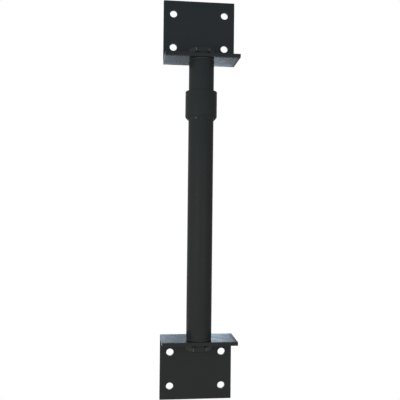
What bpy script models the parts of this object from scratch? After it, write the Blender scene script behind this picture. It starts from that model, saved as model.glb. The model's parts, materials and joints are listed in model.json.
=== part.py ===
"""Adjustable door security bar: a steel bar between two angled wall brackets.

The lower tube turns on a stud in the lower bracket. A coupling collar welded to its top carries a
screw thread, so turning the tube drives the upper tube and the upper bracket up along the bar.

Frame, in metres: X to the right, Y into the wall, Z up along the bar. The origin is the middle of
the lower bracket's wall face.
"""
import math

import bmesh
import bpy
from mathutils import Matrix, Vector

# Brackets, each bent from flat plate
PLATE_WIDTH = 0.100
PLATE_HEIGHT = 0.091
PLATE_THICKNESS = 0.005
FLANGE_DEPTH = 0.060
BEND_INNER_RADIUS = 0.002
EDGE_BREAK = 0.0006
SCREW_HOLE_DIAMETER = 0.010
HOLE_FROM_SIDE = 0.014
HOLE_FROM_FREE_EDGE = 0.0185
HOLE_FROM_HEEL = 0.0255

# Bar, from the lower flange upwards
BAR_FROM_FLANGE_EDGE = 0.020
TUBE_DIAMETER = 0.0337
TUBE_WALL = 0.0032
LOWER_TUBE_LENGTH = 0.305
UPPER_TUBE_LENGTH = 0.0644
TUBE_END_CHAMFER = 0.0004
TUBE_END_GAP = 0.001

# Coupling collar, a socket below and a screw thread above
COLLAR_WALL = 0.00405
COLLAR_LENGTH = 0.034
COLLAR_SOCKET_DEPTH = 0.010
COLLAR_CHAMFER = 0.0008
THREAD_PITCH_DIAMETER = 0.03177
THREAD_RELIEF_LENGTH = 0.003
THREAD_RELIEF_DEPTH = 0.0007

# Fillet weld under the collar
WELD_DROP = 0.0048
WELD_STEP_IN = 0.0003
WELD_CROWN = 0.0003
WELD_RIPPLES = 40
WELD_RIPPLE_HEIGHT = 0.00022

# Ends of the bar: stud, plug and its weld, washers and thin nut at each flange
STUD_DIAMETER = 0.020
STUD_PROUD = 0.0008
STUD_CHAMFER = 0.0015
PLUG_LENGTH = 0.025
PLUG_CHAMFER = 0.001
PLUG_WELD_DEPTH = 0.002
PLUG_WELD_WIDTH = 0.003
NUT_ACROSS_FLATS = 0.030
NUT_HEIGHT = 0.0078
NUT_CHAMFER_ANGLE = math.radians(30)
NUT_TURN = math.radians(30)
SEAT_WASHER_THICKNESS = 0.0015
SEAT_WASHER_STEP_IN = 0.0003
NUT_WASHER_THICKNESS = 0.001
NUT_WASHER_DIAMETER = 0.033

# Clearances
SEAT_GAP = 0.0003
THREAD_CLEARANCE = 0.0003
STUD_CLEARANCE = 0.0005

# Facets
ROUND_SIDES = 48
HOLE_SIDES = 32
BEND_STEPS = 8
WELD_STEPS_PER_RIPPLE = 3
WELD_FACE_STEPS = 5

# Worked out from the sizes above
BEND_OUTER_RADIUS = BEND_INNER_RADIUS + PLATE_THICKNESS
BAR_FROM_WALL = FLANGE_DEPTH - BAR_FROM_FLANGE_EDGE
TUBE_RADIUS = TUBE_DIAMETER / 2
TUBE_BORE = TUBE_RADIUS - TUBE_WALL
COLLAR_SOCKET_RADIUS = TUBE_RADIUS + SEAT_GAP
COLLAR_RADIUS = COLLAR_SOCKET_RADIUS + COLLAR_WALL
THREAD_RADIUS = THREAD_PITCH_DIAMETER / 2 - THREAD_CLEARANCE / 2
THREAD_BORE = THREAD_RADIUS + THREAD_CLEARANCE
STUD_RADIUS = STUD_DIAMETER / 2
STUD_BORE = STUD_RADIUS + SEAT_GAP
FLANGE_HOLE_RADIUS = STUD_RADIUS + STUD_CLEARANCE

# Levels along Z
LOWER_HEEL = PLATE_HEIGHT / 2
TUBE_FOOT = LOWER_HEEL + SEAT_WASHER_THICKNESS + 2 * SEAT_GAP
LOWER_TUBE_TOP = TUBE_FOOT + LOWER_TUBE_LENGTH
COLLAR_SHOULDER = LOWER_TUBE_TOP + SEAT_GAP
COLLAR_BASE = COLLAR_SHOULDER - COLLAR_SOCKET_DEPTH
COLLAR_TOP = COLLAR_BASE + COLLAR_LENGTH
UPPER_TUBE_FOOT = COLLAR_SHOULDER + TUBE_END_GAP
UPPER_TUBE_TOP = UPPER_TUBE_FOOT + UPPER_TUBE_LENGTH
UPPER_HEEL = UPPER_TUBE_TOP + SEAT_WASHER_THICKNESS + 2 * SEAT_GAP

# Paint and bare metal: colour, roughness, metallic
BLACK_PAINT = ((0.024, 0.025, 0.027), 0.42, 0.0)
PLAIN_STEEL = ((0.42, 0.42, 0.41), 0.38, 1.0)
BLACK_NYLON = ((0.014, 0.014, 0.015), 0.55, 0.0)


def clear_scene():
    """Take every object out of the open file."""
    for item in list(bpy.data.objects):
        bpy.data.objects.remove(item, do_unlink=True)


def add_object(name, mesh, look, parent=None):
    """Link a mesh as a named sub-part with its own material."""
    colour, roughness, metallic = look
    material = bpy.data.materials.new(name)
    material.use_nodes = True
    shader = material.node_tree.nodes["Principled BSDF"]
    shader.inputs["Base Color"].default_value = (*colour, 1.0)
    shader.inputs["Roughness"].default_value = roughness
    shader.inputs["Metallic"].default_value = metallic
    mesh.materials.append(material)
    item = bpy.data.objects.new(name, mesh)
    bpy.context.collection.objects.link(item)
    item.parent = parent
    return item


def add_axis(name, height):
    """Add an empty on the bar's axis, which the pieces of one moving group hang from."""
    axis = bpy.data.objects.new(name, None)
    axis.location = (0, -BAR_FROM_WALL, height)
    bpy.context.collection.objects.link(axis)
    return axis


def finish_mesh(shape, name, sharp_angle=math.radians(35)):
    """Turn a bmesh into a mesh with its faces out and its round sides shaded smooth."""
    bmesh.ops.recalc_face_normals(shape, faces=shape.faces)
    mesh = bpy.data.meshes.new(name)
    shape.to_mesh(mesh)
    shape.free()
    mesh.shade_smooth()
    mesh.set_sharp_from_angle(angle=sharp_angle)
    return mesh


def turned(name, profile, sides=ROUND_SIDES):
    """Turn a closed outline of (radius, height) points about Z."""
    shape = bmesh.new()
    points = [shape.verts.new((radius, 0, height)) for radius, height in profile]
    edges = [shape.edges.new((a, b)) for a, b in zip(points, points[1:] + points[:1])
             if a.co.x > 0 or b.co.x > 0]
    bmesh.ops.spin(shape, geom=points + edges, cent=(0, 0, 0), axis=(0, 0, 1),
                   angle=math.tau, steps=sides, use_merge=True)
    bmesh.ops.remove_doubles(shape, verts=shape.verts, dist=1e-6)
    return finish_mesh(shape, name)


def ring_outline(bore, radius, foot, top, chamfer=0.0):
    """Give the outline of a plain ring, its outer rims chamfered if asked."""
    outline = [(bore, foot), (radius - chamfer, foot)]
    if chamfer:
        outline += [(radius, foot + chamfer), (radius, top - chamfer)]
    return outline + [(radius - chamfer, top), (bore, top)]


def cutter(name, shape, target, operation):
    """Make a bmesh a hidden cutting body and apply it to a sub-part as a Boolean modifier."""
    bmesh.ops.recalc_face_normals(shape, faces=shape.faces)
    mesh = bpy.data.meshes.new(name)
    shape.to_mesh(mesh)
    shape.free()
    tool = bpy.data.objects.new(name, mesh)
    bpy.context.collection.objects.link(tool)
    tool.parent = target.parent
    tool.hide_render = True
    tool.display_type = "WIRE"
    cut = target.modifiers.new(name, "BOOLEAN")
    cut.operation = operation
    cut.object = tool
    cut.solver = "EXACT"
    return tool


def arc(centre, radius, start, end, steps):
    """Give points along an arc, as (y, depth) pairs."""
    angles = [start + (end - start) * step / steps for step in range(steps + 1)]
    return [(centre[0] + radius * math.cos(a), centre[1] + radius * math.sin(a)) for a in angles]


def add_bracket(name, heel, plate_side, parent=None):
    """Bend one bracket: plate_side is -1 where its plate drops from the heel and 1 where it rises."""
    bend = (-BEND_OUTER_RADIUS, BEND_OUTER_RADIUS)
    outline = [(-FLANGE_DEPTH, 0.0)]
    outline += arc(bend, BEND_OUTER_RADIUS, -math.pi / 2, 0, BEND_STEPS)
    outline += [(0.0, PLATE_HEIGHT), (-PLATE_THICKNESS, PLATE_HEIGHT)]
    outline += arc(bend, BEND_INNER_RADIUS, 0, -math.pi / 2, BEND_STEPS)
    outline += [(-FLANGE_DEPTH, PLATE_THICKNESS)]

    base = parent.matrix_world.translation if parent else Vector()
    shape = bmesh.new()
    loop = [shape.verts.new((-PLATE_WIDTH / 2, y, heel + plate_side * depth)) for y, depth in outline]
    section = shape.faces.new(loop)
    sweep = bmesh.ops.extrude_face_region(shape, geom=[section])
    far_side = [part for part in sweep["geom"] if isinstance(part, bmesh.types.BMVert)]
    bmesh.ops.translate(shape, verts=far_side, vec=(PLATE_WIDTH, 0, 0))
    bmesh.ops.recalc_face_normals(shape, faces=shape.faces)
    corners = [edge for edge in shape.edges if edge.calc_face_angle() > math.radians(60)]
    bmesh.ops.bevel(shape, geom=corners, offset=EDGE_BREAK, affect="EDGES", segments=2,
                    profile=0.5, material=-1)
    bmesh.ops.translate(shape, verts=shape.verts, vec=-base)
    bracket = add_object(name, finish_mesh(shape, name), BLACK_PAINT, parent)

    holes = bmesh.new()
    hole_length = 3 * PLATE_THICKNESS
    for side in (-1, 1):
        for depth in (HOLE_FROM_HEEL, PLATE_HEIGHT - HOLE_FROM_FREE_EDGE):
            place = Vector((side * (PLATE_WIDTH / 2 - HOLE_FROM_SIDE), -PLATE_THICKNESS / 2,
                            heel + plate_side * depth)) - base
            turn = Matrix.Translation(place) @ Matrix.Rotation(math.pi / 2, 4, "X")
            bmesh.ops.create_cone(holes, cap_ends=True, segments=HOLE_SIDES, depth=hole_length,
                                  radius1=SCREW_HOLE_DIAMETER / 2, radius2=SCREW_HOLE_DIAMETER / 2,
                                  matrix=turn)
    place = Vector((0, -BAR_FROM_WALL, heel + plate_side * PLATE_THICKNESS / 2)) - base
    bmesh.ops.create_cone(holes, cap_ends=True, segments=ROUND_SIDES, depth=hole_length,
                          radius1=FLANGE_HOLE_RADIUS, radius2=FLANGE_HOLE_RADIUS,
                          matrix=Matrix.Translation(place))
    cutter(name + "_holes", holes, bracket, "DIFFERENCE")
    return bracket


def add_lower_tube(parent):
    """Cut the long plain tube that is gripped to turn the bar."""
    foot = TUBE_FOOT - LOWER_HEEL
    outline = ring_outline(TUBE_BORE, TUBE_RADIUS, foot, foot + LOWER_TUBE_LENGTH, TUBE_END_CHAMFER)
    return add_object("lower_tube", turned("lower_tube", outline), BLACK_PAINT, parent)


def add_upper_tube(parent):
    """Turn the short upper tube, its foot cut down for the thread up to a shoulder in the collar's mouth."""
    top = UPPER_TUBE_LENGTH
    shoulder = COLLAR_TOP + SEAT_GAP - UPPER_TUBE_FOOT
    thread_end = shoulder - (TUBE_RADIUS - THREAD_RADIUS)
    relief = THREAD_RADIUS - THREAD_RELIEF_DEPTH
    relief_foot = thread_end - THREAD_RELIEF_LENGTH
    outline = [(TUBE_BORE, 0), (THREAD_RADIUS - TUBE_END_CHAMFER, 0), (THREAD_RADIUS, TUBE_END_CHAMFER),
               (THREAD_RADIUS, relief_foot - THREAD_RELIEF_DEPTH), (relief, relief_foot),
               (relief, thread_end - THREAD_RELIEF_DEPTH), (THREAD_RADIUS, thread_end),
               (TUBE_RADIUS, shoulder), (TUBE_RADIUS, top - TUBE_END_CHAMFER),
               (TUBE_RADIUS - TUBE_END_CHAMFER, top), (TUBE_BORE, top)]
    return add_object("upper_tube", turned("upper_tube", outline), BLACK_PAINT, parent)


def add_collar(parent):
    """Turn the coupling collar, with a socket for the lower tube and a threaded bore above it."""
    foot = COLLAR_BASE - LOWER_HEEL
    shoulder = foot + COLLAR_SOCKET_DEPTH
    top = foot + COLLAR_LENGTH
    lead_in = TUBE_RADIUS - THREAD_BORE + SEAT_GAP
    outline = [(COLLAR_SOCKET_RADIUS, foot), (COLLAR_RADIUS, foot),
               (COLLAR_RADIUS, top - COLLAR_CHAMFER), (COLLAR_RADIUS - COLLAR_CHAMFER, top),
               (THREAD_BORE + lead_in, top), (THREAD_BORE, top - lead_in),
               (THREAD_BORE, shoulder), (COLLAR_SOCKET_RADIUS, shoulder)]
    return add_object("coupling_collar", turned("coupling_collar", outline), BLACK_PAINT, parent)


def add_collar_weld(parent):
    """Lay the rippled fillet weld in the corner between the collar's lower face and the tube."""
    root = TUBE_RADIUS + SEAT_GAP
    roof = COLLAR_BASE - LOWER_HEEL - SEAT_GAP
    reach = COLLAR_RADIUS - WELD_STEP_IN - root
    drop = WELD_DROP - SEAT_GAP
    face_normal = Vector((drop, -reach)).normalized()
    steps = WELD_RIPPLES * WELD_STEPS_PER_RIPPLE
    shape = bmesh.new()
    rings = []
    for step in range(steps):
        angle = math.tau * step / steps
        ripple = WELD_RIPPLE_HEIGHT * math.cos(WELD_RIPPLES * angle)
        section = [(root, roof)]
        for part in range(WELD_FACE_STEPS + 1):
            along = part / WELD_FACE_STEPS
            crown = (WELD_CROWN + ripple) * math.sin(math.pi * along)
            section.append((root + reach * (1 - along) + face_normal.x * crown,
                            roof - drop * along + face_normal.y * crown))
        rings.append([shape.verts.new((radius * math.cos(angle), radius * math.sin(angle), height))
                      for radius, height in section])
    for ring, following in zip(rings, rings[1:] + rings[:1]):
        for here in range(len(ring)):
            there = (here + 1) % len(ring)
            shape.faces.new((ring[here], ring[there], following[there], following[here]))
    return add_object("collar_weld", finish_mesh(shape, "collar_weld"), BLACK_PAINT, parent)


def add_nut(name, seat, outward, parent):
    """Turn a blank with 30 degree chamfers and cut its six flats; the nut grows outward from its seat."""
    flat = NUT_ACROSS_FLATS / 2
    corner = flat / math.cos(math.pi / 6)
    rise = (corner - flat) * math.tan(NUT_CHAMFER_ANGLE)
    mouth = STUD_BORE + STUD_CHAMFER / 2
    outline = [(mouth, 0), (flat, 0), (corner, rise), (corner, NUT_HEIGHT - rise), (flat, NUT_HEIGHT),
               (mouth, NUT_HEIGHT), (STUD_BORE, NUT_HEIGHT + STUD_BORE - mouth),
               (STUD_BORE, mouth - STUD_BORE)]
    blank = [(radius, seat + outward * height) for radius, height in outline]
    nut = add_object(name, turned(name, blank), BLACK_PAINT, parent)
    hexagon = bmesh.new()
    middle = seat + outward * NUT_HEIGHT / 2
    turn = Matrix.Translation((0, 0, middle)) @ Matrix.Rotation(NUT_TURN, 4, "Z")
    bmesh.ops.create_cone(hexagon, cap_ends=True, segments=6, depth=2 * NUT_HEIGHT,
                          radius1=corner, radius2=corner, matrix=turn)
    cutter(name + "_hexagon", hexagon, nut, "INTERSECT")


def add_end_fittings(end, flange_face, into_bar, turning, seated):
    """Fasten one end of the bar to its flange.

    flange_face is the flange's outer face as a level above both parents, and into_bar is 1 where the
    bar rises from the flange and -1 where it hangs from it. The stud, plug, weld and nut go with
    the parent called turning, and the two washers stay on the flange with the one called seated.
    """
    tube_end = SEAT_WASHER_THICKNESS + 2 * SEAT_GAP
    plug_face = tube_end + PLUG_WELD_DEPTH + SEAT_GAP
    plug_end = plug_face + PLUG_LENGTH
    nut_washer_face = -PLATE_THICKNESS - SEAT_GAP
    nut_seat = nut_washer_face - NUT_WASHER_THICKNESS - SEAT_GAP
    stud_tip = nut_seat - NUT_HEIGHT - STUD_PROUD
    plug_radius = TUBE_BORE - SEAT_GAP

    def add_turned(piece, outline, look, parent):
        """Turn one fitting from an outline measured from the flange face into the bar."""
        name = end + "_" + piece
        levels = [(radius, flange_face + into_bar * height) for radius, height in outline]
        add_object(name, turned(name, levels), look, parent)

    stud = [(0, stud_tip), (STUD_RADIUS - STUD_CHAMFER, stud_tip),
            (STUD_RADIUS, stud_tip + STUD_CHAMFER), (STUD_RADIUS, plug_end - STUD_CHAMFER),
            (STUD_RADIUS - STUD_CHAMFER, plug_end), (0, plug_end)]
    add_turned("stud", stud, PLAIN_STEEL, turning)

    plug = ring_outline(STUD_BORE, plug_radius, plug_face, plug_end, PLUG_CHAMFER)
    add_turned("end_plug", plug, PLAIN_STEEL, turning)

    weld_root = tube_end + PLUG_WELD_DEPTH
    weld = [(plug_radius - PLUG_WELD_WIDTH, weld_root), (plug_radius - PLUG_WELD_WIDTH / 2, tube_end),
            (plug_radius, tube_end), (plug_radius, weld_root)]
    add_turned("plug_weld", weld, PLAIN_STEEL, turning)

    seat_washer = ring_outline(FLANGE_HOLE_RADIUS, TUBE_RADIUS - SEAT_WASHER_STEP_IN, SEAT_GAP,
                               SEAT_GAP + SEAT_WASHER_THICKNESS)
    add_turned("washer", seat_washer, BLACK_NYLON, seated)

    nut_washer = ring_outline(FLANGE_HOLE_RADIUS, NUT_WASHER_DIAMETER / 2,
                              nut_washer_face - NUT_WASHER_THICKNESS, nut_washer_face)
    add_turned("nut_washer", nut_washer, BLACK_PAINT, seated)

    add_nut(end + "_nut", flange_face + into_bar * nut_seat, -into_bar, turning)


def main():
    """Build every piece of the bar."""
    clear_scene()
    turning_axis = add_axis("turning_axis", LOWER_HEEL)
    sliding_axis = add_axis("sliding_axis", UPPER_TUBE_FOOT)
    fixed_axis = add_axis("fixed_axis", LOWER_HEEL)
    bpy.context.view_layer.update()

    add_bracket("lower_bracket", LOWER_HEEL, -1)
    add_lower_tube(turning_axis)
    add_collar(turning_axis)
    add_collar_weld(turning_axis)
    add_end_fittings("lower", 0.0, 1, turning_axis, fixed_axis)

    upper_face = UPPER_HEEL - UPPER_TUBE_FOOT
    add_upper_tube(sliding_axis)
    add_end_fittings("upper", upper_face, -1, sliding_axis, sliding_axis)
    add_bracket("upper_bracket", UPPER_HEEL, 1, sliding_axis)


main()
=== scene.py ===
"""Looks of an adjustable door security bar: a steel bar held between two angled wall brackets.

The file is laid out as a Blender add-on and run as a script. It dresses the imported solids: the
brackets are bent from drilled blanks, the tubes, collar, washers and studs are turned, the screw
threads are swept, the weld is laid in ripples, and every surface gets the finish of the real one.

Frame, in metres: X to the right, Y into the wall, Z up along the bar.
"""
import json
import math

import bmesh
import bpy
from bpy.props import FloatProperty, FloatVectorProperty, IntProperty, PointerProperty
from bpy.types import Operator, Panel, PropertyGroup
from mathutils import Matrix, Vector, noise

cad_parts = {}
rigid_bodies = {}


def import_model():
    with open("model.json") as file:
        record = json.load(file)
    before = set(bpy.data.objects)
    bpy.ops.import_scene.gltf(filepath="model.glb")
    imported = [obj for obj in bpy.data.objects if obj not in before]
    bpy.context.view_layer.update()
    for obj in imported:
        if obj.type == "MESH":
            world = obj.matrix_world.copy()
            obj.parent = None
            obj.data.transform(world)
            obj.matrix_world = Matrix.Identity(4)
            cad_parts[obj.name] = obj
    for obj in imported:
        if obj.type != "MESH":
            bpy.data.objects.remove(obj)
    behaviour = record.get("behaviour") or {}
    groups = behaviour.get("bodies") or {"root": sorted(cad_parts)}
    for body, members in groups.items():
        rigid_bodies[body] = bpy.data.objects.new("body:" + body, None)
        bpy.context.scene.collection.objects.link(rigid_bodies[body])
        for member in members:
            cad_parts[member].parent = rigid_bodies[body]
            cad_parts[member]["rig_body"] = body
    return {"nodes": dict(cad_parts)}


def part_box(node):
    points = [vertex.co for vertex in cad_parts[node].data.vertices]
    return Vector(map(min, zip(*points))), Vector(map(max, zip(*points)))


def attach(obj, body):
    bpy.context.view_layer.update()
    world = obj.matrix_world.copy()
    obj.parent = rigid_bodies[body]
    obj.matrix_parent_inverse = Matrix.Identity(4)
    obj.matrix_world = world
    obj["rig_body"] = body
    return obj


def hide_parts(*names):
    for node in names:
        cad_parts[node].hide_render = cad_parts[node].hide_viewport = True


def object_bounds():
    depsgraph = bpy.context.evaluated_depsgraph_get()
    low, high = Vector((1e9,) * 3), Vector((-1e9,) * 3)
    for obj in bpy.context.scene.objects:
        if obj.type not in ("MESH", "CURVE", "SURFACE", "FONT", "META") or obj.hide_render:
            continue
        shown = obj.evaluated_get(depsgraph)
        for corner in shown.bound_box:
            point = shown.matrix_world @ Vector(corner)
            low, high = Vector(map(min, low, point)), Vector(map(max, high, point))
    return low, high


for leftover in list(bpy.data.objects):
    bpy.data.objects.remove(leftover, do_unlink=True)
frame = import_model()
CAD_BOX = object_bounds()

bl_info = {
    "name": "Door Security Bar",
    "version": (1, 0, 0),
    "blender": (4, 5, 0),
    "location": "View3D > Sidebar > Security Bar",
    "description": "Dresses the solids of an adjustable door security bar",
    "category": "Object",
}

ENDS = ("lower", "upper")
QUARTER_TURN = math.pi / 2

# How finely the shapes are divided
ROUND_SIDES = 128
HOLE_SIDES = 64
BEND_STEPS = 16
RIM_STEPS = 4
WELD_SIDES = 480
WELD_FACE_STEPS = 14

# Points closer than the first are one, and cuts snap to points closer than the second
MERGE_DISTANCE = 1e-5
CUT_DISTANCE = 1e-7

# Edges sharper than the first are shaded sharp, and the brackets' sharper than the second rounded
SHARP_ANGLE = math.radians(40)
CORNER_ANGLE = math.radians(60)

# A face is shaded flat when one part of its normal is larger than this
FLAT_NORMAL = 0.9999

# Half the side of the square cell round a hole in the blank, in hole diameters
HOLE_CELL = 0.75
STUD_HOLE_CELL = 0.65

# One pitch of a thread: how far along it, and 0 for the root or 1 for the crest
THREAD_SECTION = ((0.0, 0), (0.08, 0), (0.42, 1), (0.58, 1), (0.92, 0))
# In thread depths: where a thread begins, and how far the groove beside it lies below its root
THREAD_LEAD = 0.5
THREAD_RELIEF = 0.25
# How far below the collar's mouth its thread ends, in pitches
MOUTH_PITCHES = 0.7

NUT_SIDES = 6
NUT_CHAMFER = math.radians(30)

# The weld's face bulges by this share of its width
WELD_CROWN = 0.05
# Its ripples wander round the bar, trail at both edges of the face, and have lumps on them
WANDER, WANDER_SCALE, WANDER_START = 0.35, 2.3, Vector((0, 0, 5))
TRAIL, TRAIL_MIDDLE = 0.9, 0.45
CREST, CREST_BASE, CREST_POWER = 1.5, 0.9, 0.7
LUMP, LUMP_SCALE, LUMP_DRIFT = 0.7, 6.5, 1.7

# Sockets of a colour Mix node, which has several of each name
MIX_FACTOR, MIX_A, MIX_B, MIX_RESULT = 0, 6, 7, 2

# The floor's half side, how far back its middle lies, and how far below the bar it is
FLOOR_HALF, FLOOR_BACK, FLOOR_DROP = 0.2, 0.194, 0.0005
# What the eye gets from it: a share of the light on it, and a glow
FLOOR_TINT, FLOOR_GLOW = (0.9, 0.9, 0.9, 1), 0.8

# Strength of the white all round, for rays that light and for rays that show it
AIR_LIGHT, AIR_SHOWN = 0.5, 1.0

# The glowing cloth round the stage, open behind the bar above its middle level
SCREEN_REACH = 2.2
SCREEN_SIDES = 48
SCREEN_FOOT, SCREEN_MIDDLE, SCREEN_HEAD = -1.6, -0.15, 1.6
OPEN_LEFT = math.radians(16)
OPEN_RIGHT = math.radians(13)

# Two glowing cards in that opening, painting light and shade into the flanges' gloss: name,
# bearings of the right and the left side, and at the left and the right end of the fall in
# brightness the place along X and the level there
CARD_SPLIT = math.radians(6.3)
CARDS = (
    ("left_glowing_card", CARD_SPLIT, -OPEN_LEFT, (0.08, 1.45), (0.18, 0.1)),
    ("right_glowing_card", OPEN_RIGHT, CARD_SPLIT, (0.31, 3.1), (0.43, 0.9)),
)
CARD_GLOW_TONE = "#d8ebff"

# The glowing cloth's brightness at the left and the right, the tones of its glow, and the levels
# in
# Z between which the cool tone comes in at the front: painted light for the gloss
CLOTH_LEFT, CLOTH_RIGHT = 0.27, 0.13
CLOTH_WARM, CLOTH_COOL = "#fdfdf8", "#4fc4ff"
COOL_FROM, COOL_TO = 0.75, 1.15

# Soft lamps: name, place, side in metres, power in watts
LAMPS = (
    ("key", (-0.9, -1.3, 0.25), 0.7, 14),
    ("fill", (0.9, -1.4, 0.1), 0.9, 9.5),
)
LAMP_AIM = Vector((0, 0, 0.23))

# The camera as fitted to the photograph: place in metres, turns in radians, lens in millimetres
CAMERA_PLACE = Vector((-0.08820, -0.81736, 0.22057))
CAMERA_YAW, CAMERA_PITCH, CAMERA_ROLL = -0.11279, 0.01425, -0.01044
CAMERA_LENS, CAMERA_SENSOR = 52.48, 36


def linear(code):
    """Turn an sRGB hex colour into linear red, green and blue."""
    parts = [int(code[at:at + 2], 16) / 255 for at in (1, 3, 5)]
    return tuple(part / 12.92 if part <= 0.04045 else ((part + 0.055) / 1.055) ** 2.4
                 for part in parts)


def length(name, description, default):
    """Give a size in metres that the sidebar shows and changes."""
    return FloatProperty(name=name, description=description, default=default, min=0.0,
                         unit="LENGTH", precision=5)


def colour(name, description, code):
    """Give a colour that the sidebar shows and changes."""
    return FloatVectorProperty(name=name, description=description, default=linear(code),
                               min=0.0, max=1.0, size=3, subtype="COLOR")


class BracketSizes(PropertyGroup):
    """Sizes of the two bent brackets."""

    thickness: length("Plate", "Thickness of the plate", 0.005)
    bend_radius: length("Bend", "Inside radius of the bend", 0.002)
    edge_radius: length("Edge", "Rounding of the cut and drilled edges", 0.0005)
    hole_diameter: length("Screw hole", "Diameter of a screw hole", 0.010)
    hole_from_side: length("From side", "Screw hole's middle to the plate's side", 0.014)
    hole_from_free_edge: length("From free edge", "Outer holes' middles to the plate's free edge",
                                0.0185)
    hole_from_heel: length("From heel", "Inner holes' middles to the flange's outer face", 0.0255)
    stud_hole_diameter: length("Stud hole", "Diameter of the hole in the flange", 0.021)


class BarSizes(PropertyGroup):
    """Sizes of the tubes, the screw coupling and its weld."""

    tube_wall: length("Tube wall", "Wall of both tubes", 0.0032)
    tube_rim: length("Tube rim", "Rounding of the tubes' ends", 0.0004)
    collar_rim: length("Collar rim", "Rounding of the collar's top", 0.0008)
    thread_pitch: length("Pitch", "Rise of the coupling thread in one turn", 0.002309)
    thread_crest: length("Thread radius", "Radius of the coupling thread's crests", 0.01652)
    thread_depth: length("Thread depth", "Height of the coupling thread", 0.00147)
    thread_play: length("Thread play", "Radial play between the two threads", 0.0002)
    socket_depth: length("Socket", "Depth of the collar's socket for the lower tube", 0.010)
    socket_play: length("Socket play", "Radial play of the tube in the socket", 0.0003)
    relief_length: length("Relief", "Length of the groove where the thread runs out", 0.003)
    ripple_height: length("Ripple", "Height of the weld's ripples", 0.00034)
    ripples: IntProperty(name="Ripples", description="Ripples round the weld", default=38, min=8)


class EndSizes(PropertyGroup):
    """Sizes of the studs, nuts and washers."""

    thread_pitch: length("Stud pitch", "Rise of the stud's thread in one turn", 0.0015)
    thread_depth: length("Stud thread", "Height of the stud's thread", 0.00092)
    thread_length: length("Threaded length", "Length of the stud's thread from its tip", 0.0125)
    nut_face: length("Nut face", "Radius of the flat ring at either end of a nut", 0.01425)
    nut_corner_cut: length("Nut corner", "How far the nut's corners are turned down", 0.00022)
    bore_play: length("Bore play", "Radial play of the stud in nuts and washers", 0.0003)
    rim_radius: length("Washer rim", "Rounding of the washers' rims", 0.00025)


class Finishes(PropertyGroup):
    """Colours of paint, metal, plastic and floor."""

    paint: colour("Paint", "Satin black paint", "#282a2a")
    paint_light: colour("Paint, thick", "Paint where it lies a little thicker", "#2d2f2f")
    paint_edge: colour("Paint, edges", "Paint drawn thin over an edge", "#37393b")
    steel: colour("Steel", "Turned bare steel", "#a3a09a")
    steel_stain: colour("Steel stain", "Oil film on the bare steel", "#86817a")
    nylon: colour("Nylon", "Black nylon of the seat washers", "#3d4042")
    bare_steel: colour("Worn steel", "Steel that a spanner has rubbed bright", "#dcdad6")
    floor: colour("Floor", "Pale studio floor", "#f6f6f5")


class SecurityBarSettings(PropertyGroup):
    """Everything that the sidebar shows."""

    bracket: PointerProperty(type=BracketSizes)
    bar: PointerProperty(type=BarSizes)
    ends: PointerProperty(type=EndSizes)
    finish: PointerProperty(type=Finishes)


def add_node(tree, kind, inputs=None, **settings):
    """Add a shader node, set its options, and fill or link its inputs."""
    node = tree.nodes.new(kind)
    for option, value in settings.items():
        setattr(node, option, value)
    for socket, value in (inputs or {}).items():
        if isinstance(value, bpy.types.NodeSocket):
            tree.links.new(value, node.inputs[socket])
        else:
            node.inputs[socket].default_value = value
    return node


def start_material(name):
    """Make an empty Principled material.

    Give it with its tree, its shader and the place on the object, by which all patterns are laid.
    A noise Scale is written as 1 over the pattern's size in metres.
    """
    material = bpy.data.materials.new(name)
    material.use_nodes = True
    tree = material.node_tree
    place = add_node(tree, "ShaderNodeTexCoord").outputs["Object"]
    return material, tree, tree.nodes["Principled BSDF"], place


def satin_black_enamel(finish):
    """Satin black enamel sprayed on steel.

    It gives a soft sheen at a low angle, a faint orange peel, slow changes of tone where the coat
    is thicker, and a greyer line where it is drawn thin over an edge.
    """
    material, tree, shader, place = start_material("satin_black_enamel")
    cloud = add_node(tree, "ShaderNodeTexNoise",
                     {"Vector": place, "Scale": 1 / 0.030, "Detail": 3.0})
    tone = add_node(tree, "ShaderNodeMix",
                    {MIX_FACTOR: cloud.outputs["Fac"], MIX_A: (*finish.paint, 1),
                     MIX_B: (*finish.paint_light, 1)}, data_type="RGBA")
    edge = add_node(tree, "ShaderNodeAttribute", attribute_name="edge")
    rub = add_node(tree, "ShaderNodeTexNoise",
                   {"Vector": place, "Scale": 1 / 0.004, "Detail": 4.0})
    thin = add_node(tree, "ShaderNodeMapRange",
                    {"Value": rub.outputs["Fac"], "From Min": 0.40, "From Max": 0.65,
                     "To Min": 0.1, "To Max": 0.6})
    worn = add_node(tree, "ShaderNodeMath", {0: edge.outputs["Fac"], 1: thin.outputs["Result"]},
                    operation="MULTIPLY")
    skin = add_node(tree, "ShaderNodeMix",
                    {MIX_FACTOR: worn.outputs["Value"], MIX_A: tone.outputs[MIX_RESULT],
                     MIX_B: (*finish.paint_edge, 1)}, data_type="RGBA")
    tree.links.new(skin.outputs[MIX_RESULT], shader.inputs["Base Color"])
    gloss = add_node(tree, "ShaderNodeTexNoise",
                     {"Vector": place, "Scale": 1 / 0.011, "Detail": 2.0})
    rough = add_node(tree, "ShaderNodeMapRange",
                     {"Value": gloss.outputs["Fac"], "From Min": 0.3, "From Max": 0.7,
                      "To Min": 0.26, "To Max": 0.34})
    tree.links.new(rough.outputs["Result"], shader.inputs["Roughness"])
    # Orange peel, drawn at 2.2 mm where the real one is about 1 mm, so that it shows
    peel = add_node(tree, "ShaderNodeTexNoise",
                    {"Vector": place, "Scale": 1 / 0.0022, "Detail": 2.0})
    bump = add_node(tree, "ShaderNodeBump",
                    {"Height": peel.outputs["Fac"], "Strength": 0.1, "Distance": 0.00012})
    tree.links.new(bump.outputs["Normal"], shader.inputs["Normal"])
    return material


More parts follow.
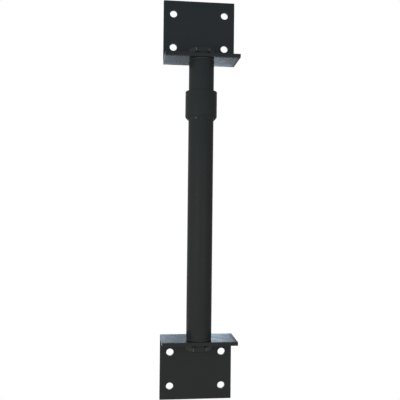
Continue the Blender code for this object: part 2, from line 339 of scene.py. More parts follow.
def enamel_on_weld_bead(finish):
    """The same enamel over a weld bead.

    It gives a wetter gloss where the paint pooled, a grainy skin of fine spatter under it, and
    here and there a bright fleck where the wire brush went through.
    """
    material, tree, shader, place = start_material("enamel_on_weld_bead")
    cloud = add_node(tree, "ShaderNodeTexNoise",
                     {"Vector": place, "Scale": 1 / 0.006, "Detail": 3.0})
    tone = add_node(tree, "ShaderNodeMix",
                    {MIX_FACTOR: cloud.outputs["Fac"], MIX_A: (*finish.paint, 1),
                     MIX_B: (*finish.paint_light, 1)}, data_type="RGBA")
    # Moved along the noise, to choose where the flecks fall
    shifted = add_node(tree, "ShaderNodeMapping",
                       {"Vector": place, "Location": (0.31, 0.05, 0.03)})
    brushed = add_node(tree, "ShaderNodeTexNoise",
                       {"Vector": shifted.outputs["Vector"], "Scale": 1 / 0.003})
    fleck = add_node(tree, "ShaderNodeMapRange",
                     {"Value": brushed.outputs["Fac"], "From Min": 0.66, "From Max": 0.70})
    skin = add_node(tree, "ShaderNodeMix",
                    {MIX_FACTOR: fleck.outputs["Result"], MIX_A: tone.outputs[MIX_RESULT],
                     MIX_B: (*finish.bare_steel, 1)}, data_type="RGBA")
    tree.links.new(skin.outputs[MIX_RESULT], shader.inputs["Base Color"])
    tree.links.new(fleck.outputs["Result"], shader.inputs["Metallic"])
    rough = add_node(tree, "ShaderNodeMapRange",
                     {"Value": cloud.outputs["Fac"], "From Min": 0.3, "From Max": 0.7,
                      "To Min": 0.22, "To Max": 0.36})
    tree.links.new(rough.outputs["Result"], shader.inputs["Roughness"])
    spatter = add_node(tree, "ShaderNodeTexNoise",
                       {"Vector": place, "Scale": 1 / 0.0009, "Detail": 3.0})
    bump = add_node(tree, "ShaderNodeBump",
                    {"Height": spatter.outputs["Fac"], "Strength": 0.4, "Distance": 0.0002})
    tree.links.new(bump.outputs["Normal"], shader.inputs["Normal"])
    return material


def enamel_worn_to_steel(finish):
    """The same enamel on the nuts' corners, where a spanner has rubbed it through.

    It gives bright scraps of bare steel in the black.
    """
    material, tree, shader, place = start_material("enamel_worn_to_steel")
    # Moved along the noise, to choose where the bare scraps fall
    shifted = add_node(tree, "ShaderNodeMapping",
                       {"Vector": place, "Location": (0.17, 0.07, 0.013)})
    rub = add_node(tree, "ShaderNodeTexNoise",
                   {"Vector": shifted.outputs["Vector"], "Scale": 1 / 0.003, "Detail": 3.0})
    bare = add_node(tree, "ShaderNodeMapRange",
                    {"Value": rub.outputs["Fac"], "From Min": 0.47, "From Max": 0.55})
    tone = add_node(tree, "ShaderNodeMix",
                    {MIX_FACTOR: bare.outputs["Result"], MIX_A: (*finish.paint_light, 1),
                     MIX_B: (*finish.bare_steel, 1)}, data_type="RGBA")
    tree.links.new(tone.outputs[MIX_RESULT], shader.inputs["Base Color"])
    tree.links.new(bare.outputs["Result"], shader.inputs["Metallic"])
    shader.inputs["Roughness"].default_value = 0.3
    return material


def turned_carbon_steel(finish):
    """Bare carbon steel, turned and lightly oiled.

    It gives a grey metal shine broken by fine tool marks round the axis and by brownish oil film.
    """
    material, tree, shader, place = start_material("turned_carbon_steel")
    shader.inputs["Metallic"].default_value = 1.0
    film = add_node(tree, "ShaderNodeTexNoise",
                    {"Vector": place, "Scale": 1 / 0.005, "Detail": 4.0})
    tone = add_node(tree, "ShaderNodeMix",
                    {MIX_FACTOR: film.outputs["Fac"], MIX_A: (*finish.steel, 1),
                     MIX_B: (*finish.steel_stain, 1)}, data_type="RGBA")
    tree.links.new(tone.outputs[MIX_RESULT], shader.inputs["Base Color"])
    rough = add_node(tree, "ShaderNodeMapRange",
                     {"Value": film.outputs["Fac"], "From Min": 0.3, "From Max": 0.7,
                      "To Min": 0.26, "To Max": 0.42})
    tree.links.new(rough.outputs["Result"], shader.inputs["Roughness"])
    # Tool marks at 0.4 mm, coarser than the real 0.1 mm feed, so that they show
    flat = add_node(tree, "ShaderNodeMapping", {"Vector": place, "Scale": (0.02, 0.02, 1.0)})
    marks = add_node(tree, "ShaderNodeTexNoise",
                     {"Vector": flat.outputs["Vector"], "Scale": 1 / 0.0004, "Detail": 2.0})
    bump = add_node(tree, "ShaderNodeBump",
                    {"Height": marks.outputs["Fac"], "Strength": 0.3, "Distance": 0.00005})
    tree.links.new(bump.outputs["Normal"], shader.inputs["Normal"])
    return material


def moulded_black_nylon(finish):
    """Black nylon, moulded as a bearing washer.

    It gives a waxy, almost matt black with a very fine moulded grain.
    """
    material, tree, shader, place = start_material("moulded_black_nylon")
    shader.inputs["IOR"].default_value = 1.53
    cloud = add_node(tree, "ShaderNodeTexNoise",
                     {"Vector": place, "Scale": 1 / 0.004, "Detail": 3.0})
    tone = add_node(tree, "ShaderNodeMix",
                    {MIX_FACTOR: cloud.outputs["Fac"], MIX_A: (*finish.nylon, 1),
                     MIX_B: (*finish.paint_edge, 1)}, data_type="RGBA")
    tree.links.new(tone.outputs[MIX_RESULT], shader.inputs["Base Color"])
    rough = add_node(tree, "ShaderNodeMapRange",
                     {"Value": cloud.outputs["Fac"], "To Min": 0.32, "To Max": 0.45})
    tree.links.new(rough.outputs["Result"], shader.inputs["Roughness"])
    grain = add_node(tree, "ShaderNodeTexNoise",
                     {"Vector": place, "Scale": 1 / 0.0006, "Detail": 2.0})
    bump = add_node(tree, "ShaderNodeBump",
                    {"Height": grain.outputs["Fac"], "Strength": 0.3, "Distance": 0.00005})
    tree.links.new(bump.outputs["Normal"], shader.inputs["Normal"])
    return material


MATERIALS = {make.__name__: make for make in (
    satin_black_enamel, enamel_on_weld_bead, enamel_worn_to_steel, turned_carbon_steel,
    moulded_black_nylon)}


def finish_material(name):
    """Give one finish's material, made the first time that a piece asks for it."""
    return bpy.data.materials.get(name) or MATERIALS[name](bpy.context.scene.security_bar.finish)


def finish_piece(shape, name, finishes, nodes):
    """Make a bmesh a finished piece that stands for its CAD nodes and rides on their body."""
    bmesh.ops.remove_doubles(shape, verts=shape.verts, dist=MERGE_DISTANCE)
    bmesh.ops.recalc_face_normals(shape, faces=shape.faces)
    for face in shape.faces:
        face.smooth = max(abs(part) for part in face.normal) < FLAT_NORMAL
    mesh = bpy.data.meshes.new(name)
    shape.to_mesh(mesh)
    shape.free()
    mesh.set_sharp_from_angle(angle=SHARP_ANGLE)
    for finish in finishes:
        mesh.materials.append(finish_material(finish))
    piece = bpy.data.objects.new(name, mesh)
    bpy.context.scene.collection.objects.link(piece)
    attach(piece, frame["nodes"][nodes[0]]["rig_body"])
    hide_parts(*nodes)


def bar_axis():
    """Give the point of the bar's axis at level zero."""
    low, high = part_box("lower_tube")
    middle = (low + high) / 2
    return Vector((middle.x, middle.y, 0.0))


def radius_of(node):
    """Give the outer radius of a turned CAD node."""
    low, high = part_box(node)
    return (high.x - low.x) / 2


def turn(shape, outline, closed, sides=ROUND_SIDES):
    """Spin an outline of (radius, level) points round the bar's axis into a bmesh."""
    axis = bar_axis()
    points = [shape.verts.new(axis + Vector((radius, 0, level))) for radius, level in outline]
    ends = points[1:] + points[:1] if closed else points[1:]
    edges = [shape.edges.new(pair) for pair in zip(points, ends)]
    bmesh.ops.spin(shape, geom=points + edges, cent=axis, axis=(0, 0, 1), angle=math.tau,
                   steps=sides, use_merge=True)
    bmesh.ops.remove_doubles(shape, verts=shape.verts, dist=MERGE_DISTANCE)


def ring(shape, radius, level):
    """Find the edges of one circle round the bar's axis."""
    axis = bar_axis()

    def on_ring(vert):
        reach = (vert.co - axis).to_2d().length
        return abs(reach - radius) < MERGE_DISTANCE and abs(vert.co.z - level) < MERGE_DISTANCE

    return [edge for edge in shape.edges if all(on_ring(vert) for vert in edge.verts)]


def join_rims(shape, level):
    """Close a bmesh between its two open rims at one level."""
    rims = [edge for edge in shape.edges if edge.is_boundary
            and all(abs(vert.co.z - level) < MERGE_DISTANCE for vert in edge.verts)]
    bmesh.ops.triangle_fill(shape, use_beauty=True, edges=rims)


def round_edges(shape, edges, radius):
    """Round a set of edges, and mark the new strips, where paint is drawn thin."""
    strip = shape.faces.layers.float.get("edge") or shape.faces.layers.float.new("edge")
    rounded = bmesh.ops.bevel(shape, geom=edges, offset=radius, offset_type="OFFSET",
                              segments=RIM_STEPS, profile=0.5, affect="EDGES",
                              clamp_overlap=True, material=-1)
    for face in rounded["faces"]:
        face[strip] = 1.0


def everything(shape):
    """Give all of a bmesh's elements for an operator."""
    return shape.verts[:] + shape.edges[:] + shape.faces[:]


def sweep_thread(shape, root, crest, low, high, pitch):
    """Sweep a right-hand thread between two levels, with open rims.

    The thread's phase follows from the level alone, so that two threads of one pitch mesh.
    """
    axis = bar_axis()
    radii = (root, crest)
    first, last = math.floor(low / pitch) - 1, math.ceil(high / pitch) + 1
    points = [shape.verts.new(axis + Vector((radii[raised], 0, (pitches + part) * pitch)))
              for pitches in range(first, last) for part, raised in THREAD_SECTION]
    edges = [shape.edges.new(pair) for pair in zip(points, points[1:])]
    bmesh.ops.spin(shape, geom=points + edges, cent=axis, axis=(0, 0, 1), angle=math.tau,
                   dvec=(0, 0, pitch / ROUND_SIDES), steps=ROUND_SIDES)
    bmesh.ops.remove_doubles(shape, verts=shape.verts, dist=MERGE_DISTANCE)
    for level, outward in ((low, -1), (high, 1)):
        bmesh.ops.bisect_plane(shape, geom=everything(shape), dist=CUT_DISTANCE,
                               plane_co=(0, 0, level), plane_no=(0, 0, outward), clear_outer=True)


class SECURITYBAR_OT_brackets(Operator):
    """Bend both brackets from drilled blanks"""

    bl_idname = "security_bar.brackets"
    bl_label = "Brackets"

    def drill(self, blank, place, diameter):
        """Open a round hole in the cell of the blank that is centred on a place."""
        cell = min(blank.faces, key=lambda face: (face.calc_center_bounds() - place).length)
        sides = list(cell.edges)
        bmesh.ops.delete(blank, geom=[cell], context="FACES_ONLY")
        facing = Matrix.Translation(place) @ Matrix.Rotation(QUARTER_TURN, 4, "X")
        circle = bmesh.ops.create_circle(blank, segments=HOLE_SIDES, radius=diameter / 2,
                                         matrix=facing)
        hole = {edge for vert in circle["verts"] for edge in vert.link_edges}
        bmesh.ops.triangle_fill(blank, use_beauty=True, edges=sides + list(hole))

    def blank(self, sizes, low, high, bar_from_wall):
        """Cut and drill the flat blank of the lower bracket, its plate hanging from its flange."""
        outer = sizes.bend_radius + sizes.thickness
        bend_start = high.z - outer
        bend_length = outer * QUARTER_TURN
        flange_end = bend_start + bend_length + (high.y - low.y) - outer
        blank = bmesh.new()
        bmesh.ops.create_grid(blank, x_segments=1, y_segments=1, size=0.5)
        bmesh.ops.rotate(blank, verts=blank.verts, cent=(0, 0, 0),
                         matrix=Matrix.Rotation(QUARTER_TURN, 3, "X"))
        bmesh.ops.scale(blank, verts=blank.verts, vec=(high.x - low.x, 1, flange_end - low.z))
        bmesh.ops.translate(blank, verts=blank.verts, vec=(0, 0, (flange_end + low.z) / 2))

        hole = sizes.hole_diameter
        across = high.x - sizes.hole_from_side
        rows = (low.z + sizes.hole_from_free_edge, high.z - sizes.hole_from_heel)
        stud = bend_start + bend_length + bar_from_wall - outer
        half, stud_half = HOLE_CELL * hole, STUD_HOLE_CELL * sizes.stud_hole_diameter
        uprights = [side * (across + step) for side in (-1, 1) for step in (-half, half)]
        uprights += [-stud_half, stud_half]
        levels = [row + step for row in rows for step in (-half, half)]
        levels += [stud - stud_half, stud + stud_half]
        levels += [bend_start + bend_length * step / BEND_STEPS for step in range(BEND_STEPS + 1)]
        cuts = [((x, 0, 0), (1, 0, 0)) for x in uprights]
        cuts += [((0, 0, z), (0, 0, 1)) for z in levels]
        for place, normal in cuts:
            bmesh.ops.bisect_plane(blank, geom=everything(blank), dist=CUT_DISTANCE,
                                   plane_co=place, plane_no=normal)
        for side in (-1, 1):
            for row in rows:
                self.drill(blank, Vector((side * across, 0, row)), hole)
        self.drill(blank, Vector((0, 0, stud)), sizes.stud_hole_diameter)
        return blank, bend_start, bend_length

    def bend(self, blank, sizes, bend_start, bend_length):
        """Press the blank round the bend, its flange coming forward from the wall."""
        outer = sizes.bend_radius + sizes.thickness
        for vert in blank.verts:
            past = vert.co.z - bend_start
            if past > 0:
                angle = min(past / bend_length, 1) * QUARTER_TURN
                reach = outer + vert.co.y
                beyond = max(past - bend_length, 0)
                vert.co.y = -outer + reach * math.cos(angle) - beyond * math.sin(angle)
                vert.co.z = bend_start + reach * math.sin(angle) + beyond * math.cos(angle)

    def execute(self, context):
        sizes = context.scene.security_bar.bracket
        low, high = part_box("lower_bracket")
        for end in ENDS:
            shape, bend_start, bend_length = self.blank(sizes, low, high, -bar_axis().y)
            plate = bmesh.ops.extrude_face_region(shape, geom=shape.faces[:])
            front = [part for part in plate["geom"] if isinstance(part, bmesh.types.BMVert)]
            bmesh.ops.translate(shape, verts=front, vec=(0, -sizes.thickness, 0))
            bmesh.ops.recalc_face_normals(shape, faces=shape.faces)
            self.bend(shape, sizes, bend_start, bend_length)
            shape.normal_update()
            corners = [edge for edge in shape.edges if edge.calc_face_angle(0) > CORNER_ANGLE]
            round_edges(shape, corners, sizes.edge_radius)
            if end == "upper":
                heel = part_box("upper_bracket")[0].z
                bmesh.ops.scale(shape, verts=shape.verts, vec=(1, 1, -1))
                bmesh.ops.translate(shape, verts=shape.verts, vec=(0, 0, high.z + heel))
            finish_piece(shape, end + "_bracket_bent", ["satin_black_enamel"],
                         [end + "_bracket"])
        return {"FINISHED"}


class SECURITYBAR_OT_tubes(Operator):
    """Turn the lower tube, and the upper tube with its screw thread"""

    bl_idname = "security_bar.tubes"
    bl_label = "Tubes"

    def execute(self, context):
        sizes = context.scene.security_bar.bar
        radius = radius_of("lower_tube")
        bore = radius - sizes.tube_wall
        low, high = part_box("lower_tube")
        shape = bmesh.new()
        turn(shape, [(bore, low.z), (radius, low.z), (radius, high.z), (bore, high.z)],
             closed=True)
        round_edges(shape, ring(shape, radius, low.z) + ring(shape, radius, high.z),
                    sizes.tube_rim)
        finish_piece(shape, "lower_tube_painted", ["satin_black_enamel"], ["lower_tube"])

        low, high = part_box("upper_tube")
        collar_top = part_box("coupling_collar")[1].z
        root = sizes.thread_crest - sizes.thread_depth
        foot = root - THREAD_RELIEF * sizes.thread_depth
        shoulder = collar_top + sizes.socket_play
        thread_low = low.z + THREAD_LEAD * sizes.thread_depth
        thread_high = collar_top - sizes.relief_length
        shape = bmesh.new()
        sweep_thread(shape, root, sizes.thread_crest, thread_low, thread_high, sizes.thread_pitch)
        turn(shape, [(foot, thread_low), (foot, low.z), (bore, low.z), (bore, high.z),
                     (radius, high.z), (radius, shoulder), (foot, shoulder - radius + foot),
                     (foot, thread_high)], closed=False)
        join_rims(shape, thread_low)
        join_rims(shape, thread_high)
        round_edges(shape, ring(shape, radius, high.z), sizes.tube_rim)
        axis = bar_axis()
        for face in shape.faces:
            middle = face.calc_center_median()
            outside = (middle - axis).to_2d().length > bore + MERGE_DISTANCE
            bare = low.z + MERGE_DISTANCE < middle.z < shoulder
            face.material_index = int(outside and bare)
        finish_piece(shape, "upper_tube_threaded", ["satin_black_enamel", "turned_carbon_steel"],
                     ["upper_tube"])
        return {"FINISHED"}


class SECURITYBAR_OT_collar(Operator):
    """Turn the coupling collar with its socket and its inside thread"""

    bl_idname = "security_bar.collar"
    bl_label = "Coupling collar"

    def execute(self, context):
        sizes = context.scene.security_bar.bar
        low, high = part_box("coupling_collar")
        radius = radius_of("coupling_collar")
        socket = radius_of("lower_tube") + sizes.socket_play
        shoulder = low.z + sizes.socket_depth
        crest = sizes.thread_crest + sizes.thread_play
        thread_top = high.z - MOUTH_PITCHES * sizes.thread_pitch
        mouth = crest + sizes.thread_play
        shape = bmesh.new()
        sweep_thread(shape, crest - sizes.thread_depth, crest, shoulder, thread_top,
                     sizes.thread_pitch)
        turn(shape, [(socket, shoulder), (socket, low.z), (radius, low.z), (radius, high.z),
                     (socket, high.z), (mouth, thread_top)], closed=False)
        join_rims(shape, shoulder)
        join_rims(shape, thread_top)
        round_edges(shape, ring(shape, radius, high.z), sizes.collar_rim)
        axis = bar_axis()
        for face in shape.faces:
            middle = face.calc_center_median()
            inside = (middle - axis).to_2d().length < socket - MERGE_DISTANCE
            face.material_index = int(inside and middle.z > shoulder - MERGE_DISTANCE)
        finish_piece(shape, "coupling_collar_threaded",
                     ["satin_black_enamel", "turned_carbon_steel"], ["coupling_collar"])
        return {"FINISHED"}


class SECURITYBAR_OT_weld(Operator):
    """Lay the rippled weld under the collar"""

    bl_idname = "security_bar.weld"
    bl_label = "Collar weld"

    def ripple(self, angle, along, count):
        """Give the bead's height, about -1 to 1, at a place round it and down its face."""
        round_trip = Vector((math.cos(angle), math.sin(angle), 0))
        wander = WANDER * noise.noise(round_trip * WANDER_SCALE + WANDER_START)
        lobe = count * angle / math.tau + wander + TRAIL * (along - TRAIL_MIDDLE) ** 2
        crest = abs(math.sin(math.pi * lobe)) ** CREST_POWER
        lump = noise.noise(round_trip * LUMP_SCALE + Vector((0, 0, along * LUMP_DRIFT)))
        return CREST * crest - CREST_BASE + LUMP * lump

    def execute(self, context):
        sizes = context.scene.security_bar.bar
        low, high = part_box("collar_weld")
        # It stays clear of the tube and the collar by parts of the play between those two
        root = radius_of("lower_tube") + sizes.socket_play / 3
        reach = radius_of("coupling_collar") - sizes.socket_play
        top = high.z + sizes.socket_play / 2
        slope = Vector((root - reach, low.z - top))
        outward = Vector((-slope.y, slope.x)).normalized()
        crown = WELD_CROWN * slope.length
        outline = [(root, top)]
        for step in range(WELD_FACE_STEPS + 1):
            along = step / WELD_FACE_STEPS
            bulge = outward * crown * math.sin(math.pi * along)
            outline.append(tuple(Vector((reach, top)) + slope * along + bulge))
        shape = bmesh.new()
        turn(shape, outline, closed=True, sides=WELD_SIDES)
        axis = bar_axis()
        for vert in shape.verts:
            offset = vert.co - axis
            place = Vector((offset.to_2d().length, offset.z))
            along = (place - Vector((reach, top))).dot(slope) / slope.length_squared
            if place.x < root + MERGE_DISTANCE and place.y > top - MERGE_DISTANCE:
                continue
            angle = math.atan2(offset.y, offset.x)
            fade = math.sin(math.pi * along) ** 0.5 if 0 < along < 1 else 0.0
            height = sizes.ripple_height * fade * self.ripple(angle, along, sizes.ripples)
            moved = place + outward * height
            vert.co = axis + Vector((moved.x * math.cos(angle), moved.x * math.sin(angle),
                                     moved.y))
        finish_piece(shape, "collar_weld_bead", ["enamel_on_weld_bead"], ["collar_weld"])
        return {"FINISHED"}


class SECURITYBAR_OT_nuts(Operator):
    """Turn the nut blanks and cut their six flats"""

    bl_idname = "security_bar.nuts"
    bl_label = "Nuts"

    def execute(self, context):
        sizes = context.scene.security_bar.ends
        axis = bar_axis()
        for end in ENDS:
            low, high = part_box(end + "_nut")
            flat = (high.y - low.y) / 2
            corner = (high.x - low.x) / 2 - sizes.nut_corner_cut
            bore = radius_of(end + "_stud") + sizes.bore_play
            mouth = bore + sizes.thread_depth
            rise = (corner - sizes.nut_face) * math.tan(NUT_CHAMFER)
            shape = bmesh.new()
            turn(shape, [(mouth, low.z), (sizes.nut_face, low.z), (corner, low.z + rise),
                         (corner, high.z - rise), (sizes.nut_face, high.z), (mouth, high.z),
                         (bore, high.z - sizes.thread_depth),
                         (bore, low.z + sizes.thread_depth)], closed=True)
            for side in range(NUT_SIDES):
                angle = (side + 0.5) * math.tau / NUT_SIDES
                outward = Vector((math.cos(angle), math.sin(angle), 0))
                cut = bmesh.ops.bisect_plane(shape, geom=everything(shape), dist=CUT_DISTANCE,
                                             plane_co=axis + outward * flat, plane_no=outward,
                                             clear_outer=True)
                loop = [part for part in cut["geom_cut"] if isinstance(part, bmesh.types.BMEdge)]
                bmesh.ops.edgeloop_fill(shape, edges=loop)
            for face in shape.faces:
                reach = (face.calc_center_median() - axis).to_2d().length
                face.material_index = int(reach > corner - sizes.nut_corner_cut)
            finish_piece(shape, end + "_nut_cut", ["satin_black_enamel", "enamel_worn_to_steel"],
                         [end + "_nut"])
        return {"FINISHED"}


class SECURITYBAR_OT_studs(Operator):
    """Turn both studs and cut the thread at their tips"""

    bl_idname = "security_bar.studs"
    bl_label = "Studs"

    def execute(self, context):
        sizes = context.scene.security_bar.ends
        for end in ENDS:
            low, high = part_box(end + "_stud")
            inward = 1 if end == "lower" else -1
            tip, inner = (low.z, high.z) if end == "lower" else (high.z, low.z)
            radius = radius_of(end + "_stud")
            root = radius - sizes.thread_depth
            start = tip + inward * THREAD_LEAD * sizes.thread_depth
            runout = tip + inward * sizes.thread_length
            shape = bmesh.new()
            sweep_thread(shape, root, radius, min(start, runout), max(start, runout),
                         sizes.thread_pitch)
            face = root - THREAD_RELIEF * sizes.thread_depth
            shank = runout + inward * sizes.thread_depth
            turn(shape, [(0, tip), (face, tip), (face, start)], closed=False)
            turn(shape, [(face, runout), (face, shank),
                         (radius, shank + inward * sizes.thread_depth),
                         (radius, inner), (0, inner)], closed=False)
            join_rims(shape, start)
            join_rims(shape, runout)
            finish_piece(shape, end + "_stud_threaded", ["turned_carbon_steel"],
                         [end + "_stud"])
        return {"FINISHED"}


class SECURITYBAR_OT_washers(Operator):
    """Turn the nylon seat washers and the steel washers under the nuts"""

    bl_idname = "security_bar.washers"
    bl_label = "Washers"

    def execute(self, context):
        sizes = context.scene.security_bar.ends
        bore = context.scene.security_bar.bracket.stud_hole_diameter / 2
        kinds = (("_washer", "_seat_washer", "moulded_black_nylon", "black_nylon"),
                 ("_nut_washer", "_nut_washer_rounded", "satin_black_enamel", "black_paint"))
        for end in ENDS:
            for node, name, finish, slot in kinds:
                low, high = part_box(end + node)
                radius = radius_of(end + node)
                shape = bmesh.new()
                turn(shape, [(bore, low.z), (radius, low.z), (radius, high.z), (bore, high.z)],
                     closed=True)
                rims = [ring(shape, reach, level) for reach in (bore, radius)
                        for level in (low.z, high.z)]
                round_edges(shape, sum(rims, []), sizes.rim_radius)
                finish_piece(shape, end + name, [finish], [end + node])
        return {"FINISHED"}


class SECURITYBAR_OT_plugs(Operator):
    """Finish the plugs and their welds, which stay inside the tubes' ends"""

    bl_idname = "security_bar.plugs"
    bl_label = "End plugs"

    def execute(self, context):
        for end in ENDS:
            for node in ("_end_plug", "_plug_weld"):
                materials = frame["nodes"][end + node].data.materials
                materials.clear()
                materials.append(finish_material("turned_carbon_steel"))
        return {"FINISHED"}


class SECURITYBAR_OT_stage(Operator):
    """Set the pale floor, the studio light and the camera"""

    bl_idname = "security_bar.stage"
    bl_label = "Stage"

    def seen(self, tree):
        """Tell rays that show the stage, straight or in gloss or glass, from those that light."""
        path = add_node(tree, "ShaderNodeLightPath")
        shown = add_node(tree, "ShaderNodeMath",
                         {0: path.outputs["Is Camera Ray"], 1: path.outputs["Is Glossy Ray"]},
                         operation="MAXIMUM")
        either = add_node(tree, "ShaderNodeMath",
                          {0: shown.outputs["Value"], 1: path.outputs["Is Transmission Ray"]},
                          operation="MAXIMUM")
        return either.outputs["Value"]

    def set_up(self, scene, name, shape):
        """Put a bmesh on the stage, and give the object and the tree of its empty material."""
        mesh = bpy.data.meshes.new(name)
        shape.to_mesh(mesh)
        shape.free()
        item = bpy.data.objects.new(name, mesh)
        scene.collection.objects.link(item)
        material = bpy.data.materials.new(name)
        material.use_nodes = True
        material.node_tree.nodes.clear()
        material.cycles.emission_sampling = "NONE"
        mesh.materials.append(material)
        return item, material.node_tree

    def floor(self, scene, finish):
        """Lay pale paper that goes to white for the eye and still takes the object's shadow."""
        shape = bmesh.new()
        bmesh.ops.create_grid(shape, x_segments=1, y_segments=1, size=FLOOR_HALF)
        bmesh.ops.translate(shape, verts=shape.verts,
                            vec=(0, FLOOR_BACK, CAD_BOX[0].z - FLOOR_DROP))
        tree = self.set_up(scene, "pale_paper", shape)[1]
        paper = add_node(tree, "ShaderNodeBsdfDiffuse", {"Color": (*finish.floor, 1)})
        tint = add_node(tree, "ShaderNodeBsdfDiffuse", {"Color": FLOOR_TINT})
        glow = add_node(tree, "ShaderNodeEmission",
                        {"Color": (1, 1, 1, 1), "Strength": FLOOR_GLOW})
        lit = add_node(tree, "ShaderNodeAddShader", {0: tint.outputs[0], 1: glow.outputs[0]})
        both = add_node(tree, "ShaderNodeMixShader",
                        {0: self.seen(tree), 1: paper.outputs[0], 2: lit.outputs[0]})
        add_node(tree, "ShaderNodeOutputMaterial", {"Surface": both.outputs[0]})

    def sheet(self, shape, low, high, start, angle):
        """Bend a sheet round the stage between two levels, from a bearing on to the left."""
        first = Vector((math.sin(start), math.cos(start), 0)) * SCREEN_REACH
        ends = [shape.verts.new(first + Vector((0, 0, level))) for level in (low, high)]
        side = shape.edges.new(ends)
        bmesh.ops.spin(shape, geom=ends + [side], cent=(0, 0, 0), axis=(0, 0, 1),
                       steps=SCREEN_SIDES, angle=angle)

    def card(self, scene, name, start, end, left, right):
        """Hang a glowing card behind, out of the camera's sight, whose fall in brightness along X
        is painted light and shade for the flanges to show.

        It hangs between two bearings. Left and right each give a place along X and its level.
        """
        shape = bmesh.new()
        self.sheet(shape, SCREEN_MIDDLE, SCREEN_HEAD, start, start - end)
        card, tree = self.set_up(scene, name, shape)
        card.visible_camera = False
        place = add_node(tree, "ShaderNodeTexCoord").outputs["Object"]
        way = add_node(tree, "ShaderNodeSeparateXYZ", {0: place})
        # The card's glow falls along X: painted light and shade, seen only in the gloss
        level = add_node(tree, "ShaderNodeMapRange",
                         {"Value": way.outputs["X"], "From Min": left[0], "From Max": right[0],
                          "To Min": left[1], "To Max": right[1]})
        glow = add_node(tree, "ShaderNodeEmission",
                        {"Color": (*linear(CARD_GLOW_TONE), 1), "Strength": level.outputs["Result"]})
        add_node(tree, "ShaderNodeOutputMaterial", {"Surface": glow.outputs[0]})

    def screen(self, scene):
        """Stand dimly glowing cloth all round but behind, out of the camera's sight: painted light
        for the gloss.
        """
        shape = bmesh.new()
        self.sheet(shape, SCREEN_FOOT, SCREEN_MIDDLE, 0, math.tau)
        self.sheet(shape, SCREEN_MIDDLE, SCREEN_HEAD, -OPEN_LEFT,
                   math.tau - OPEN_LEFT - OPEN_RIGHT)
        for level in (SCREEN_FOOT, SCREEN_HEAD):
            bmesh.ops.create_circle(shape, cap_ends=True, segments=SCREEN_SIDES,
                                    radius=SCREEN_REACH,
                                    matrix=Matrix.Translation((0, 0, level)))
        screen, tree = self.set_up(scene, "grey_glowing_cloth", shape)
        screen.visible_camera = False
        place = add_node(tree, "ShaderNodeTexCoord").outputs["Object"]
        way = add_node(tree, "ShaderNodeSeparateXYZ", {0: place})
        # The cloth's glow is painted light: brighter at the left, and cool at the front top
        level = add_node(tree, "ShaderNodeMapRange",
                         {"Value": way.outputs["X"], "From Min": -SCREEN_REACH,
                          "From Max": SCREEN_REACH, "To Min": CLOTH_LEFT, "To Max": CLOTH_RIGHT})
        cool = add_node(tree, "ShaderNodeMapRange",
                        {"Value": way.outputs["Z"], "From Min": COOL_FROM, "From Max": COOL_TO})
        front = add_node(tree, "ShaderNodeMapRange",
                         {"Value": way.outputs["Y"], "From Min": 0, "From Max": -SCREEN_REACH})
        share = add_node(tree, "ShaderNodeMath",
                         {0: cool.outputs["Result"], 1: front.outputs["Result"]},
                         operation="MULTIPLY")
        tone = add_node(tree, "ShaderNodeMix",
                        {MIX_FACTOR: share.outputs["Value"], MIX_A: (*linear(CLOTH_WARM), 1),
                         MIX_B: (*linear(CLOTH_COOL), 1)}, data_type="RGBA")
        glow = add_node(tree, "ShaderNodeEmission",
                        {"Color": tone.outputs[MIX_RESULT], "Strength": level.outputs["Result"]})
        add_node(tree, "ShaderNodeOutputMaterial", {"Surface": glow.outputs[0]})

    def surround(self, scene):
        """Hang white all round for the eye and the gloss, and an even pale light for the rest."""
        world = bpy.data.worlds.new("studio")
        scene.world = world
        world.use_nodes = True
        world.cycles.sampling_method = "NONE"
        tree = world.node_tree
        tree.nodes.clear()
        level = add_node(tree, "ShaderNodeMapRange",
                         {"Value": self.seen(tree), "To Min": AIR_LIGHT, "To Max": AIR_SHOWN})
        air = add_node(tree, "ShaderNodeBackground",
                       {"Color": (1, 1, 1, 1), "Strength": level.outputs["Result"]})
        add_node(tree, "ShaderNodeOutputWorld", {"Surface": air.outputs[0]})

    def lamp(self, scene, name, place, size, power):
        """Hang a square soft lamp that points at the bar and doesn't show in the gloss."""
        light = bpy.data.lights.new(name, "AREA")
        light.size = size
        light.energy = power
        lamp = bpy.data.objects.new(name, light)
        lamp.location = place
        lamp.rotation_euler = (LAMP_AIM - Vector(place)).to_track_quat("-Z", "Y").to_euler()
        lamp.visible_glossy = False
        scene.collection.objects.link(lamp)

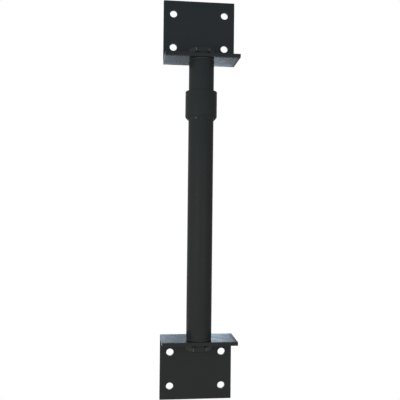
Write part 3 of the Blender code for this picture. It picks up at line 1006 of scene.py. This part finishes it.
    def camera(self, scene):
        """Stand the camera where the photograph was taken, left of the bar at half its height."""
        lens = bpy.data.cameras.new("camera")
        lens.lens = CAMERA_LENS
        lens.sensor_width = CAMERA_SENSOR
        camera = bpy.data.objects.new("camera", lens)
        yaw = Matrix.Rotation(CAMERA_YAW, 4, "Z")
        pitch = Matrix.Rotation(CAMERA_PITCH, 4, "X")
        roll = Matrix.Rotation(CAMERA_ROLL, 4, "Y")
        upright = Matrix.Rotation(QUARTER_TURN, 4, "X")
        camera.matrix_world = Matrix.Translation(CAMERA_PLACE) @ yaw @ pitch @ roll @ upright
        scene.collection.objects.link(camera)
        scene.camera = camera

    def execute(self, context):
        scene = context.scene
        scene.view_settings.view_transform = "Standard"
        self.floor(scene, scene.security_bar.finish)
        self.screen(scene)
        for card in CARDS:
            self.card(scene, *card)
        self.surround(scene)
        for lamp in LAMPS:
            self.lamp(scene, *lamp)
        self.camera(scene)
        return {"FINISHED"}


OPERATORS = (
    SECURITYBAR_OT_brackets, SECURITYBAR_OT_tubes, SECURITYBAR_OT_collar, SECURITYBAR_OT_weld,
    SECURITYBAR_OT_nuts, SECURITYBAR_OT_studs, SECURITYBAR_OT_washers, SECURITYBAR_OT_plugs,
    SECURITYBAR_OT_stage,
)


class SECURITYBAR_PT_sidebar(Panel):
    """Sizes, colours and building steps of the bar"""

    bl_idname = "SECURITYBAR_PT_sidebar"
    bl_label = "Door Security Bar"
    bl_space_type = "VIEW_3D"
    bl_region_type = "UI"
    bl_category = "Security Bar"

    def draw(self, context):
        settings = context.scene.security_bar
        for group in (settings.bracket, settings.bar, settings.ends, settings.finish):
            box = self.layout.box()
            for name in group.__annotations__:
                box.prop(group, name)
        for operator in OPERATORS:
            self.layout.operator(operator.bl_idname)


CLASSES = (BracketSizes, BarSizes, EndSizes, Finishes, SecurityBarSettings,
           *OPERATORS, SECURITYBAR_PT_sidebar)


def register():
    """Register the classes and hang the settings on the scene."""
    for item in CLASSES:
        bpy.utils.register_class(item)
    bpy.types.Scene.security_bar = PointerProperty(type=SecurityBarSettings)


def unregister():
    """Take the settings and the classes away again."""
    del bpy.types.Scene.security_bar
    for item in reversed(CLASSES):
        bpy.utils.unregister_class(item)


def main():
    """Build every piece and the stage."""
    register()
    bpy.ops.security_bar.brackets()
    bpy.ops.security_bar.tubes()
    bpy.ops.security_bar.collar()
    bpy.ops.security_bar.weld()
    bpy.ops.security_bar.nuts()
    bpy.ops.security_bar.studs()
    bpy.ops.security_bar.washers()
    bpy.ops.security_bar.plugs()
    bpy.ops.security_bar.stage()


if __name__ == "__main__":
    main()
